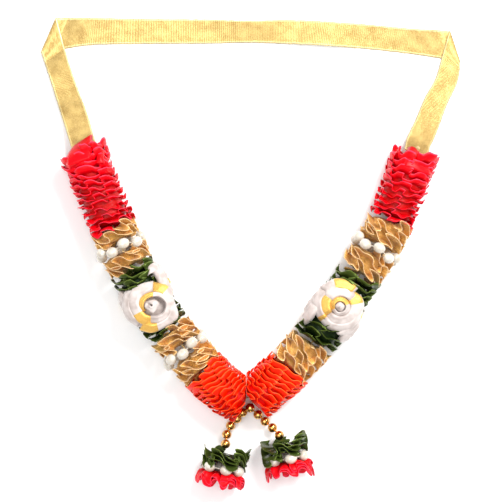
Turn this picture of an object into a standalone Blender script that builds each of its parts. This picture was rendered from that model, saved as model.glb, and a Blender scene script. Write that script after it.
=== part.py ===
"""A ribbon garland, laid flat: a gold neck ribbon carries a thread of gathered ribbon ruffles, ribbon roses
and pearls down each side to a V, where two small tassels hang on a string of gold beads.

Metres, +Z up. The garland lies on z = 0, the neck ribbon is at +Y, and the origin is under its middle.
"""

import math
import random

import bmesh
import bpy
from mathutils import Matrix, Vector

# Driving sizes of the whole garland
RIBBON_WIDTH = 0.016  # every ribbon is the same stock; gathered along one edge it gives the strand's radius
RIBBON_THICKNESS = 0.0008
GAP = 0.0003  # left between two pieces that touch
THREAD_RADIUS = 0.0005
BORE_RADIUS = 0.0012
STRAND_HEIGHT = 0.0146  # of the thread over the table: a little under the radius, as the ruffles flatten
TASSEL_HEIGHT = 0.0105
UP = Vector((0.0, 0.0, 1.0))

# Each side's thread, from the neck ribbon down to the point of the V, in x and y
LEFT_ROUTE = [
    (-0.1072, 0.0656),
    (-0.0886, 0.0157),
    (-0.0771, -0.0093),
    (-0.0626, -0.0342),
    (-0.0470, -0.0566),
    (-0.0288, -0.0765),
    (-0.0170, -0.0888),
    (-0.0074, -0.0930),
]
RIGHT_ROUTE = [
    (0.1053, 0.0637),
    (0.0914, 0.0205),
    (0.0794, 0.0018),
    (0.0658, -0.0188),
    (0.0563, -0.0336),
    (0.0429, -0.0547),
    (0.0226, -0.0742),
    (0.0120, -0.0852),
    (0.0032, -0.0912),
]
ROUTE_STEPS = 12  # straight steps between two points of a route
ROUTE_EASE = 160  # times that each step is eased towards its neighbours, to round off the bends

# The gathered ribbon: flutes run round the thread and lean to and fro along it
FLUTES = 6
SIDES = 3 * FLUTES
FLUTE_LEAN = 0.0026
GOLD_LEAN = 0.0020  # the gold ruffles are shorter and stand straighter beside the pearls
FLUTE_TWIST = 14.0  # radians that the flutes turn for each metre of thread
CORE_RADIUS = 0.0085
RUFFLE_RADIUS = 0.0158
RADIUS_SPREAD = 0.0006
BORE_STEP = 0.010
random.seed(7)

RED = (0.80, 0.004, 0.035)
ORANGE = (0.90, 0.035, 0.006)
GOLD = (0.62, 0.36, 0.09)
GREEN = (0.025, 0.075, 0.012)
CREAM = (0.86, 0.79, 0.73)
PEARL = (0.93, 0.88, 0.80)
BRASS = (0.70, 0.36, 0.08)
COTTON = (0.80, 0.74, 0.62)


def clear_scene():
    for thing in list(bpy.data.objects):
        bpy.data.objects.remove(thing)


def material(name, colour, roughness, metallic=0.0):
    made = bpy.data.materials.get(name) or bpy.data.materials.new(name)
    made.use_nodes = True
    shader = made.node_tree.nodes["Principled BSDF"]
    shader.inputs["Base Color"].default_value = (*colour, 1.0)
    shader.inputs["Roughness"].default_value = roughness
    shader.inputs["Metallic"].default_value = metallic
    return made


def new_object(name, bm, finish):
    """Turns a bmesh into a named object with its faces outwards and every face a triangle."""
    bmesh.ops.recalc_face_normals(bm, faces=bm.faces)
    if bm.calc_volume(signed=True) < 0:
        bmesh.ops.reverse_faces(bm, faces=bm.faces)
    bmesh.ops.triangulate(bm, faces=bm.faces, quad_method="SHORT_EDGE")
    mesh = bpy.data.meshes.new(name)
    bm.to_mesh(mesh)
    bm.free()
    mesh.shade_smooth()
    mesh.set_sharp_from_angle(angle=math.radians(40))
    mesh.materials.append(finish)
    made = bpy.data.objects.new(name, mesh)
    bpy.context.scene.collection.objects.link(made)
    return made


def combine(base, others, operation="UNION", solver="EXACT"):
    """Joins the others to the base, or cuts them from it, with one Boolean, and removes them."""
    group = bpy.data.collections.new(base.name + "_others")
    bpy.context.scene.collection.children.link(group)
    for other in others:
        bpy.context.scene.collection.objects.unlink(other)
        group.objects.link(other)
    step = base.modifiers.new("combine", "BOOLEAN")
    step.operation = operation
    step.operand_type = "COLLECTION"
    step.collection = group
    step.solver = solver
    bpy.context.view_layer.update()
    graph = bpy.context.evaluated_depsgraph_get()
    result = bpy.data.meshes.new_from_object(base.evaluated_get(graph))
    base.modifiers.clear()
    base.data = result
    for other in others:
        bpy.data.objects.remove(other)
    bpy.data.collections.remove(group)
    return base


def smooth_line(points, steps):
    """Points on a smooth curve through the given points (Catmull-Rom)."""
    ends = [2 * points[0] - points[1], *points, 2 * points[-1] - points[-2]]
    line = []
    for a, b, c, d in zip(ends, ends[1:], ends[2:], ends[3:]):
        for i in range(steps):
            t = i / steps
            line.append(
                0.5 * (2 * b + (c - a) * t + (2 * a - 5 * b + 4 * c - d) * t**2 + (3 * b - a - 3 * c + d) * t**3)
            )
    return [*line, points[-1]]


class Line:
    """A thread's line, measured by length. It runs on straight past both ends."""

    def __init__(self, points):
        self.points = smooth_line(points, ROUTE_STEPS)
        for _ in range(ROUTE_EASE):
            inner = [(a + 2 * b + c) / 4 for a, b, c in zip(self.points, self.points[1:], self.points[2:])]
            self.points = [self.points[0], *inner, self.points[-1]]
        steps = [(b - a).normalized() for a, b in zip(self.points, self.points[1:])]
        between = [(a + b).normalized() for a, b in zip(steps, steps[1:])]
        self.directions = [steps[0], *between, steps[-1]]
        self.lengths = [0.0]
        for a, b in zip(self.points, self.points[1:]):
            self.lengths.append(self.lengths[-1] + (b - a).length)
        self.length = self.lengths[-1]

    def at(self, station):
        """The point and the direction of the thread at a station."""
        last = len(self.points) - 2
        i = 0
        while i < last and self.lengths[i + 1] < station:
            i += 1
        share = (station - self.lengths[i]) / (self.lengths[i + 1] - self.lengths[i])
        point = self.points[i] + share * (self.points[i + 1] - self.points[i])
        along = self.directions[i].lerp(self.directions[i + 1], min(max(share, 0.0), 1.0))
        return point, along.normalized()

    def place(self, station, angle, radius):
        """A point about the thread. Angle 0 is straight up and a quarter turn is to the right in the photo."""
        point, along = self.at(station)
        across = UP.cross(along).normalized()
        above = along.cross(across)
        return point + radius * (math.cos(angle) * above + math.sin(angle) * across)


def on_table(point):
    """Soft ribbon flattens where it lies on the table."""
    return Vector((point.x, point.y, max(point.z, 0.0)))


def skin(name, rings, finish, wrap=False, crossed=lambda step, side: False):
    """A closed solid over rings of equal count. With wrap the last ring joins the first; without it both ends cap.

    A face that crossed picks out is split along its other diagonal, so that both faces of a waved layer of ribbon
    are split alike.
    """
    bm = bmesh.new()
    rows = [[bm.verts.new(p) for p in ring] for ring in rings]
    pairs = list(zip(rows, rows[1:]))
    if wrap:
        pairs.append((rows[-1], rows[0]))
    for step, (first, second) in enumerate(pairs):
        for i in range(len(first)):
            j = (i + 1) % len(first)
            if crossed(step, i):
                bm.faces.new((first[i], first[j], second[i]))
                bm.faces.new((first[j], second[j], second[i]))
            else:
                bm.faces.new((first[i], first[j], second[j]))
                bm.faces.new((first[i], second[j], second[i]))
    if not wrap:
        bm.faces.new(rows[0])
        bm.faces.new(reversed(rows[-1]))
    return new_object(name, bm, finish)


def round_ring(point, along, radius, sides):
    across = UP.cross(along).normalized()
    above = along.cross(across)
    turns = [2 * math.pi * k / sides for k in range(sides)]
    return [point + radius * (math.cos(t) * across + math.sin(t) * above) for t in turns]


def tube(name, points, radius, sides, finish):
    """A round cord along points, with flat ends."""
    rings = []
    for i, point in enumerate(points):
        before = points[max(i - 1, 0)]
        after = points[min(i + 1, len(points) - 1)]
        rings.append(round_ring(point, (after - before).normalized(), radius, sides))
    return skin(name, rings, finish)


BEAD_SIDES = 6
# A bead on its thread, as rings: each ring's place along the bead and its radius, as shares of the bead's half
# length and radius. The first and last rings are the thread's own size.
BEAD_PROFILE = [(-1.0, 0.0), (-0.6, 0.8), (0.0, 1.0), (0.6, 0.8), (1.0, 0.0)]


def bead_rings(centre, along, half_length, radius, thread_radius, sides):
    rings = []
    for place, share in BEAD_PROFILE:
        rings.append(round_ring(centre + place * half_length * along, along, max(share * radius, thread_radius), sides))
    return rings


def ball(name, centre, along, length, radius, finish, turn=7, rise=4):
    """A bead: a ball, or an oval one, with its hole's axis along a direction."""
    bm = bmesh.new()
    bmesh.ops.create_uvsphere(bm, u_segments=turn, v_segments=rise, radius=1.0)
    grow = Matrix.Diagonal((radius, radius, length / 2, 1.0))
    turned = along.to_track_quat("Z", "Y").to_matrix().to_4x4()
    bm.transform(Matrix.Translation(centre) @ turned @ grow)
    return new_object(name, bm, finish)


# Ruffles: one ribbon gathered along an edge and pushed tight on the thread, so that its free edge meanders
# round the strand in close layers. Each layer is a waved disc, thick at its root and a ribbon thick at its edge.


def ruffle_ring(line, station, radius, lean, core):
    """One ring of points. What lies beyond the core leans to and fro with the flutes."""
    share = max(0.0, radius - core) / (RUFFLE_RADIUS - core)
    ring = []
    for k in range(SIDES):
        turn = 2 * math.pi * k / SIDES
        moved = station + lean * share * math.sin(FLUTES * turn)
        ring.append(on_table(line.place(moved, turn + FLUTE_TWIST * station, radius)))
    return ring


def ruffle(name, line, start, end, layers, finish, radius=RUFFLE_RADIUS, core=CORE_RADIUS,
           lean=FLUTE_LEAN, last_lean=None, sweep=0.0):
    """A gathered ribbon on the thread between two stations. sweep pushes the free edges along the thread."""
    last_lean = lean if last_lean is None else last_lean
    start += GAP / 2
    end -= GAP / 2
    pitch = (end - start) / layers
    rings = [ruffle_ring(line, start, core, 0.0, core)]
    inward = range(2, 3 * layers, 3)  # the steps that lead back towards the thread
    for i in range(layers):
        edge = start + (i + 0.5) * pitch + sweep
        reach = radius + random.uniform(-RADIUS_SPREAD, RADIUS_SPREAD)
        now = lean + (last_lean - lean) * i / max(layers - 1, 1)
        rings.append(ruffle_ring(line, edge - RIBBON_THICKNESS / 2, reach, now, core))
        rings.append(ruffle_ring(line, edge + RIBBON_THICKNESS / 2, reach, now, core))
        rings.append(ruffle_ring(line, start + (i + 1) * pitch, core, 0.0, core))
    bore_steps = max(1, round((end - start) / BORE_STEP))
    for i in range(bore_steps, -1, -1):
        station = start + (end - start) * i / bore_steps
        rings.append(ruffle_ring(line, station, BORE_RADIUS, 0.0, core))
    return skin(name, rings, finish, wrap=True, crossed=lambda step, side: step in inward)


# Pearls: oval beads on their own thread, tied round the strand in the groove between two gold ruffles.
PEARL_LENGTH = 0.0078
PEARL_RADIUS = 0.0033
PEARL_THREAD_RADIUS = 0.0005
STRAND_PEARLS = 9
RING_STEPS = 240  # a pearl ring's track is measured in this many steps, to space the pearls evenly
PEARL_RING_RADIUS = 0.0145
PEARL_FLOOR = 0.0036  # the lowest that a pearl's centre lies over the table


def pearl_ring(name, line, station, radius, count, first_angle=0.0, wander=0.0004):
    """A ring of pearls round a thread, pressed inwards where it meets the table, as one beaded loop."""
    finish = material("pearl", PEARL, 0.25)
    track = []
    for k in range(RING_STEPS):
        angle = first_angle + 2 * math.pi * k / RING_STEPS
        moved = station + wander * math.sin(FLUTES / 2 * angle)
        reach = radius
        while line.place(moved, angle, reach).z < PEARL_FLOOR:
            reach -= RADIUS_SPREAD / 2
        track.append(line.place(moved, angle, reach))
    lengths = [(b - a).length for a, b in zip(track, track[1:] + track[:1])]
    spacing = sum(lengths) / count
    centres = []
    run = 0.0
    for point, length in zip(track, lengths):
        if run >= spacing * len(centres) and len(centres) < count:
            centres.append(point)
        run += length
    rings = []
    for before, centre, after in zip(centres[-1:] + centres[:-1], centres, centres[1:] + centres[:1]):
        along = (after - before).normalized()
        outward = (centre - line.at(station)[0]).normalized()
        beside = along.cross(outward).normalized()
        outward = beside.cross(along)
        for place, share in BEAD_PROFILE:
            middle = centre + place * PEARL_LENGTH / 2 * along
            size = max(share * PEARL_RADIUS, PEARL_THREAD_RADIUS)
            turns = [2 * math.pi * k / BEAD_SIDES for k in range(BEAD_SIDES)]
            rings.append([middle + size * (math.cos(t) * outward + math.sin(t) * beside) for t in turns])
    return skin(name, rings, finish, wrap=True)


# Roses: a striped satin ribbon rolled into a bud and folded round it in a widening spiral. Each rose is sewn by
# its narrow base to the green core and opens outwards as a cone.
ROSE_FOOT = 0.0063  # the base's distance from the thread
ROSE_HEIGHT = 0.0108
ROSE_RADIUS = 0.0172
SIDE_ROSE_RADIUS = 0.0162
ROSE_BUD_RADIUS = 0.0022
ROSE_TURNS = 2.8
ROSE_STEPS_PER_TURN = 8
ROSE_WALL = 0.0010
ROSE_GREEN_GAP = 0.0014


def rose_frame(line, station, angle):
    """The matrix that stands a rose on the strand: its Z points away from the thread."""
    foot = line.place(station, angle, ROSE_FOOT)
    outward = (foot - line.at(station)[0]).normalized()
    along = line.at(station)[1]
    beside = outward.cross(along)
    turned = Matrix((along, beside, outward)).transposed().to_4x4()
    return Matrix.Translation(foot) @ turned


def rose(name, line, station, angle, radius, turned):
    """One rose: a solid cone with a spiral wall of ribbon that leans out more at each turn."""
    finish = material("cream_satin", CREAM, 0.35)
    frame = rose_frame(line, station, angle) @ Matrix.Rotation(turned, 4, "Z")
    bm = bmesh.new()
    bmesh.ops.create_cone(bm, cap_ends=True, segments=8, radius1=radius * 0.30, radius2=radius * 0.52,
                          depth=ROSE_HEIGHT * 0.55)
    bm.transform(frame @ Matrix.Translation((0.0, 0.0, ROSE_HEIGHT * 0.275)))
    heart = new_object(name, bm, finish)
    steps = round(ROSE_TURNS * ROSE_STEPS_PER_TURN)
    rings = []
    for i in range(steps + 1):
        share = i / steps
        turn = 2 * math.pi * ROSE_TURNS * share
        fold = 1.0 - 0.05 * share * abs(math.sin(1.25 * turn))
        rim = (ROSE_BUD_RADIUS + (radius - ROSE_BUD_RADIUS) * share) * fold
        top = ROSE_HEIGHT * (1.0 - 0.16 * share**2)
        profile = [
            (rim * 0.40, ROSE_HEIGHT * 0.22),
            (rim - ROSE_WALL, top - 0.0004),
            (rim, top),
            (rim * 0.40 + ROSE_WALL, ROSE_HEIGHT * 0.22),
        ]
        rings.append([on_table(frame @ Vector((r * math.cos(turn), r * math.sin(turn), z))) for r, z in profile])
    wall = skin(name + "_wall", rings, finish)
    return combine(heart, [wall])


def rose_room(name, line, station, angle, radius):
    """The cone that a rose opens in, with a little air: the green ruffle stays out of it."""
    air = ROSE_GREEN_GAP
    bm = bmesh.new()
    depth = ROSE_HEIGHT + 0.006
    slope = (radius * 0.94 - radius * 0.34) / ROSE_HEIGHT
    low = radius * 0.34 + air
    bmesh.ops.create_cone(bm, cap_ends=True, segments=16, radius1=low, radius2=low + slope * depth + air, depth=depth)
    lift = Matrix.Translation((0.0, 0.0, depth / 2 - GAP / 2))
    bm.transform(rose_frame(line, station, angle) @ lift)
    return new_object(name, bm, material("room", CREAM, 0.5))


# The neck ribbon, row by row: each row is a straight line across the ribbon, from its inner edge to its outer edge.
# The legs lie on the cross run at both corners, where the ribbon folds back under itself.
NECK_THICKNESS = 0.0006
FLAT = 0.0003  # height of the ribbon's middle where it lies on the table
OVER = 0.0014  # and where it lies on the ribbon below
LEFT_LEG = [
    ((-0.0989, 0.0697, 0.0190), (-0.1139, 0.0641, 0.0190)),
    ((-0.0989, 0.0697, 0.0125), (-0.1139, 0.0641, 0.0125)),
    ((-0.0996, 0.0716, 0.0095), (-0.1146, 0.0660, 0.0095)),
    ((-0.1013, 0.0765, 0.0070), (-0.1163, 0.0710, 0.0072)),
    ((-0.1040, 0.0860, 0.0034), (-0.1193, 0.0805, 0.0036)),
    ((-0.1075, 0.0960, 0.0017), (-0.1226, 0.0905, 0.0017)),
    ((-0.1105, 0.1036, 0.0018), (-0.1251, 0.0987, 0.0024)),
    ((-0.1160, 0.1190, OVER), (-0.1305, 0.1155, OVER)),
    ((-0.1200, 0.1320, OVER), (-0.1330, 0.1230, OVER)),
]
LEFT_FOLD = ((-0.1251, 0.1517), (-0.1349, 0.1292))
RUN = [
    ((-0.1175, 0.1518, FLAT), (-0.1270, 0.1305, FLAT)),
    ((-0.1010, 0.1518, FLAT), (-0.1030, 0.1342, FLAT)),
    ((-0.0650, 0.1510, FLAT), (-0.0650, 0.1350, FLAT)),
    ((-0.0300, 0.1508, FLAT), (-0.0300, 0.1352, FLAT)),
    ((-0.0010, 0.1498, 0.0022), (-0.0010, 0.1358, 0.0006)),
    ((0.0230, 0.1504, 0.0004), (0.0230, 0.1350, 0.0012)),
    ((0.0480, 0.1494, 0.0006), (0.0460, 0.1338, 0.0024)),
    ((0.0760, 0.1474, FLAT), (0.0740, 0.1318, FLAT)),
    ((0.1040, 0.1448, FLAT), (0.1010, 0.1288, FLAT)),
    ((0.1200, 0.1440, FLAT), (0.1235, 0.1255, FLAT)),
]
RIGHT_FOLD = ((0.1277, 0.1431), (0.1344, 0.1226))
RIGHT_LEG = [
    ((0.1236, 0.1290, OVER), (0.1346, 0.1190, OVER)),
    ((0.1190, 0.1130, OVER), (0.1325, 0.1090, OVER)),
    ((0.1121, 0.1006, 0.0026), (0.1262, 0.0958, 0.0016)),
    ((0.1068, 0.0880, 0.0020), (0.1216, 0.0833, 0.0022)),
    ((0.1025, 0.0790, 0.0042), (0.1178, 0.0739, 0.0040)),
    ((0.0997, 0.0730, 0.0076), (0.1148, 0.0682, 0.0074)),
    ((0.0987, 0.0686, 0.0098), (0.1138, 0.0636, 0.0098)),
    ((0.0981, 0.0668, 0.0125), (0.1132, 0.0618, 0.0125)),
    ((0.0981, 0.0668, 0.0190), (0.1132, 0.0618, 0.0190)),
]
FOLD_STEPS = 3


def folded_rows(fold, outward, above, below):
    """Rows round a fold: a half turn about its line, from one layer of ribbon to the other."""
    middle = (above + below) / 2
    reach = (above - below) / 2
    direction = 1 if outward else -1
    line = Vector((*fold[1], 0.0)) - Vector((*fold[0], 0.0))
    away = line.cross(UP).normalized() * direction
    rows = []
    for k in range(FOLD_STEPS + 1):
        turn = math.pi * k / FOLD_STEPS
        shift = away * reach * math.sin(turn)
        height = middle + reach * math.cos(turn)
        rows.append([Vector((x, y, height)) + shift for x, y in fold])
    return rows


def neck_ribbon():
    finish = material("gold_tissue", GOLD, 0.4, 0.6)
    rows = [[Vector(p) for p in row] for row in LEFT_LEG]
    rows += folded_rows(LEFT_FOLD, True, OVER, FLAT)
    rows += [[Vector(p) for p in row] for row in RUN]
    rows += list(reversed(folded_rows(RIGHT_FOLD, False, OVER, FLAT)))
    rows += [[Vector(p) for p in row] for row in RIGHT_LEG]
    rings = []
    for i, (inner, outer) in enumerate(rows):
        before = rows[max(i - 1, 0)]
        after = rows[min(i + 1, len(rows) - 1)]
        along = (after[0] + after[1] - before[0] - before[1]).normalized()
        normal = along.cross(outer - inner).normalized() * (NECK_THICKNESS / 2)
        rings.append([inner + normal, outer + normal, outer - normal, inner - normal])
    return skin("neck_ribbon", rings, finish, crossed=lambda step, side: side == 2)


# Both sides of the garland. Stations are lengths down the thread from the neck ribbon.
LEFT_SECTIONS = [
    ("red_ruffle", "red_satin", 0.0, 0.0525, 10),
    ("gold_ruffle_1", "gold_tissue", 0.0525, 0.0622, 2),
    ("gold_ruffle_2", "gold_tissue", 0.0695, 0.0800, 2),
    ("gold_ruffle_3", "gold_tissue", 0.1280, 0.1398, 2),
    ("gold_ruffle_4", "gold_tissue", 0.1473, 0.1612, 3),
]
RIGHT_SECTIONS = [
    ("red_ruffle", "red_satin", 0.0, 0.0455, 9),
    ("gold_ruffle_1", "gold_tissue", 0.0455, 0.0624, 3),
    ("gold_ruffle_2", "gold_tissue", 0.0693, 0.0850, 3),
    ("gold_ruffle_3", "gold_tissue", 0.1385, 0.1610, 4),
]
FINISHES = {"red_satin": (RED, 0.35, 0.0), "gold_tissue": (GOLD, 0.4, 0.6)}
GREEN_CORE = 0.0060
ORANGE_CLEAR = 0.0022  # from each orange ruffle's last layer to the end of its thread, where the V's halves meet


def side_of_garland(side, line, sections, pearl_stations, green, roses, orange):
    """Everything that one side's thread carries."""
    for name, slot, start, end, layers in sections:
        lean = GOLD_LEAN if slot == "gold_tissue" else FLUTE_LEAN
        ruffle(f"{side}_{name}", line, start, end, layers, material(slot, *FINISHES[slot]), lean=lean)
    for k, station in enumerate(pearl_stations, 1):
        pearl_ring(f"{side}_pearls_{k}", line, station, PEARL_RING_RADIUS, STRAND_PEARLS)
    bed = ruffle(f"{side}_green_ruffle", line, *green, material("green_satin", GREEN, 0.4), core=GREEN_CORE)
    rooms = []
    for name, station, angle, radius, turned in roses:
        rose(f"{side}_rose_{name}", line, station, math.radians(angle), radius, math.radians(turned))
        rooms.append(rose_room(f"{side}_room_{name}", line, station, math.radians(angle), radius))
    for room in rooms:
        combine(bed, [room], "DIFFERENCE")
    ruffle(f"{side}_orange_ruffle", line, *orange, material("orange_satin", ORANGE, 0.35), last_lean=0.0008)


# The tassels: a green ruffle, a ring of pearls and a flared red ruffle on each end of the bead string.
LEFT_TASSEL = [(-0.0160, -0.1265), (-0.0172, -0.1335), (-0.0208, -0.1490)]
RIGHT_TASSEL = [(0.0211, -0.1200), (0.0222, -0.1260), (0.0251, -0.1415)]
TASSEL_PEARLS = 6
TASSEL_PEARL_RADIUS = 0.0110
TASSEL_RADIUS = 0.0152
TASSEL_CORE = 0.0055


def tassel(side, line):
    lean = 0.0018
    ruffle(f"{side}_tassel_green", line, 0.0003, 0.0072, 2, material("green_satin", GREEN, 0.4),
           radius=TASSEL_RADIUS, core=TASSEL_CORE, lean=lean)
    pearl_ring(f"{side}_tassel_pearls", line, 0.0117, TASSEL_PEARL_RADIUS, TASSEL_PEARLS, math.radians(-30), 0.0)
    ruffle(f"{side}_tassel_red", line, 0.0145, 0.0208, 2, material("red_satin", *FINISHES["red_satin"]),
           radius=TASSEL_RADIUS, core=TASSEL_CORE, lean=lean, sweep=0.0030)


# The strand thread: cotton, knotted outside the neck ribbon at both ends, running through every ruffle.
KNOT_RADIUS = 0.0018
THREAD_STEP = 0.010
END_KNOT = -0.0036  # station of a thread's end knot, just past the ribbon's turned-up end


def stations(start, end, step):
    count = max(1, round(abs(end - start) / step))
    return [start + (end - start) * i / count for i in range(count + 1)]


def strand_thread(left, right):
    finish = material("cotton", COTTON, 0.7)
    points = [left.at(s)[0] for s in stations(END_KNOT, left.length, THREAD_STEP)]
    points += [right.at(s)[0] for s in stations(right.length, END_KNOT, THREAD_STEP)]
    thread = tube("strand_thread", points, THREAD_RADIUS, 5, finish)
    knots = []
    for k, line in enumerate((left, right)):
        point, along = line.at(END_KNOT)
        knots.append(ball(f"knot_{k}", point, along, 2 * KNOT_RADIUS, KNOT_RADIUS, finish))
    return combine(thread, knots)


def pierce_neck(ribbon, lines):
    """Holes for the thread through the ribbon's two turned-up ends."""
    needles = []
    for k, line in enumerate(lines):
        points = [line.at(s)[0] for s in (-0.004, 0.003)]
        needles.append(tube(f"needle_{k}", points, BORE_RADIUS, 8, ribbon.data.materials[0]))
    return combine(ribbon, needles, "DIFFERENCE")


# The bead string: one thread tied to the strand thread at the point of the V, with gold beads down both sides
# and a tassel on each end.
BEAD_RADIUS = 0.0030
BEAD_HALF_LENGTH = 0.0027
BEAD_PITCH = 0.0064
LINK_SHARE = 0.55  # where the string is tied, along the bare thread between the two orange ruffles
ARCH = Vector((-0.0006, -0.0990, 0.0075))
LEFT_BEADS = [
    (-0.0054, -0.1021, 0.0050),
    (-0.0098, -0.1066, 0.0036),
    (-0.0136, -0.1110, 0.0036),
    (-0.0158, -0.1165, 0.0048),
    (-0.0163, -0.1225, 0.0078),
]
RIGHT_BEADS = [
    (0.0045, -0.1038, 0.0048),
    (0.0090, -0.1080, 0.0038),
    (0.0138, -0.1122, 0.0048),
    (0.0181, -0.1164, 0.0080),
]
LEFT_BEAD_COUNT = 5
RIGHT_BEAD_COUNT = 4
STRING_STEP = 0.004
TASSEL_END_KNOT = 0.0230  # station of the end knot, just past the tassel's red ruffle


def end_of_string(tassel_line, direction=1):
    """The string's end, from its knot under a tassel to the tassel's top, as rings."""
    knot, along = tassel_line.at(TASSEL_END_KNOT)
    rings = bead_rings(knot, -direction * along, KNOT_RADIUS, KNOT_RADIUS, THREAD_RADIUS, BEAD_SIDES)
    if direction < 0:
        rings.reverse()
    for station in stations(TASSEL_END_KNOT - 0.004, 0.0, STRING_STEP):
        point, along = tassel_line.at(station)
        rings.append(round_ring(point, -direction * along, THREAD_RADIUS, BEAD_SIDES))
    return rings


def bead_string(left_tassel, right_tassel, left_end, right_end):
    tie = left_end.lerp(right_end, LINK_SHARE)
    span = (right_end - left_end).normalized()
    finish = material("gilt_bead", BRASS, 0.2, 1.0)
    left = Line([ARCH, *map(Vector, LEFT_BEADS), left_tassel.at(0.0)[0]])
    right = Line([ARCH, *map(Vector, RIGHT_BEADS), right_tassel.at(0.0)[0]])
    rings = end_of_string(left_tassel)
    for k in range(LEFT_BEAD_COUNT, 0, -1):
        point, along = left.at(k * BEAD_PITCH)
        rings += bead_rings(point, -along, BEAD_HALF_LENGTH, BEAD_RADIUS, THREAD_RADIUS, BEAD_SIDES)
    across = (right.at(BEAD_PITCH)[0] - left.at(BEAD_PITCH)[0]).normalized()
    rings += bead_rings(ARCH, across, BEAD_HALF_LENGTH, BEAD_RADIUS, THREAD_RADIUS, BEAD_SIDES)
    for k in range(1, RIGHT_BEAD_COUNT + 1):
        point, along = right.at(k * BEAD_PITCH)
        rings += bead_rings(point, along, BEAD_HALF_LENGTH, BEAD_RADIUS, THREAD_RADIUS, BEAD_SIDES)
    rings += list(reversed(end_of_string(right_tassel, -1)))
    string = skin("bead_string", rings, finish)
    link = [tie + Vector((0.0001, 0, -0.0009)), (tie + ARCH) / 2 + Vector((0, -0.001, 0)), ARCH]
    loop = ball("loop", tie, span, 2 * KNOT_RADIUS + 0.001, KNOT_RADIUS + 0.0006, finish)
    combine(string, [tube("link", link, THREAD_RADIUS, BEAD_SIDES, finish), loop], solver="MANIFOLD")
    eye = tube("eye", [tie - 0.006 * span, tie + 0.006 * span], BORE_RADIUS, 8, finish)
    return combine(string, [eye], "DIFFERENCE", "MANIFOLD")


def garland():
    clear_scene()
    left = Line([Vector((x, y, STRAND_HEIGHT)) for x, y in LEFT_ROUTE])
    right = Line([Vector((x, y, STRAND_HEIGHT)) for x, y in RIGHT_ROUTE])
    side_of_garland(
        "left", left, LEFT_SECTIONS, [0.0661, 0.1437], (0.0800, 0.1280, 7),
        [("front", 0.1085, 0, ROSE_RADIUS, 20), ("outer", 0.1030, -92, SIDE_ROSE_RADIUS, 140),
         ("inner", 0.0955, 92, SIDE_ROSE_RADIUS, 250)],
        (0.1612, left.length - ORANGE_CLEAR, 7),
    )
    side_of_garland(
        "right", right, RIGHT_SECTIONS, [0.0659], (0.0850, 0.1385, 7),
        [("front", 0.1096, 0, ROSE_RADIUS, 75), ("inner", 0.1180, -92, SIDE_ROSE_RADIUS, 200),
         ("outer", 0.1150, 92, SIDE_ROSE_RADIUS, 310)],
        (0.1610, right.length - ORANGE_CLEAR, 6),
    )
    left_tassel = Line([Vector((x, y, TASSEL_HEIGHT)) for x, y in LEFT_TASSEL])
    right_tassel = Line([Vector((x, y, TASSEL_HEIGHT)) for x, y in RIGHT_TASSEL])
    tassel("left", left_tassel)
    tassel("right", right_tassel)
    strand_thread(left, right)
    pierce_neck(neck_ribbon(), (left, right))
    bead_string(left_tassel, right_tassel, left.points[-1], right.points[-1])


garland()
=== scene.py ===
"""The look of the ribbon garland: satin and tissue ribbon, folded roses, pearls and gold beads, laid on a pale table."""

import math
import random

import bmesh
import bpy
from mathutils import Matrix, Vector, noise


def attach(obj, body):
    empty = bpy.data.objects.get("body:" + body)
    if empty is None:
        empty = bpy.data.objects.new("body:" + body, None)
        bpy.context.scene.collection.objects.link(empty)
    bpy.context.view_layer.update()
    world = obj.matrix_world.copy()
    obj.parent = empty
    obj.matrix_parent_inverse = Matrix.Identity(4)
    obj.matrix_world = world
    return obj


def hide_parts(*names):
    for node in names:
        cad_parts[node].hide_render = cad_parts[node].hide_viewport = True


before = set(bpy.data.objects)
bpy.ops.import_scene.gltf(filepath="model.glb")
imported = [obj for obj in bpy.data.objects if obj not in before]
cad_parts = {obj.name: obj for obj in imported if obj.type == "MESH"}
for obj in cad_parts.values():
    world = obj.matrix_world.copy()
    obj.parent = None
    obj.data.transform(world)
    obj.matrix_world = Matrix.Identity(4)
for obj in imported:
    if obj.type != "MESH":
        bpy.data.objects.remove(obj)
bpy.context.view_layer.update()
bpy.context.scene.view_settings.view_transform = "Standard"
UP = Vector((0.0, 0.0, 1.0))

# Neck ribbon. One long tissue ribbon of gold yarn, woven with fine cross ribs and two firm selvedges. It lies on
# the table, folds back under itself at both upper corners, and its ends are stitched to the tops of the strands.
NECK_OVER = 0.0014
NECK_FLAT = 0.0003
LEFT_LEG = [
    ((-0.0989, 0.0697, 0.0190), (-0.1139, 0.0641, 0.0190)),
    ((-0.0989, 0.0697, 0.0125), (-0.1139, 0.0641, 0.0125)),
    ((-0.0996, 0.0716, 0.0095), (-0.1146, 0.0660, 0.0095)),
    ((-0.1013, 0.0765, 0.0070), (-0.1163, 0.0710, 0.0072)),
    ((-0.1040, 0.0860, 0.0034), (-0.1193, 0.0805, 0.0036)),
    ((-0.1075, 0.0960, 0.0017), (-0.1226, 0.0905, 0.0017)),
    ((-0.1105, 0.1036, 0.0018), (-0.1251, 0.0987, 0.0024)),
    ((-0.1160, 0.1190, NECK_OVER), (-0.1305, 0.1155, NECK_OVER)),
    ((-0.1200, 0.1320, NECK_OVER), (-0.1330, 0.1230, NECK_OVER)),
]
LEFT_FOLD = ((-0.1251, 0.1517), (-0.1349, 0.1292))
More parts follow.
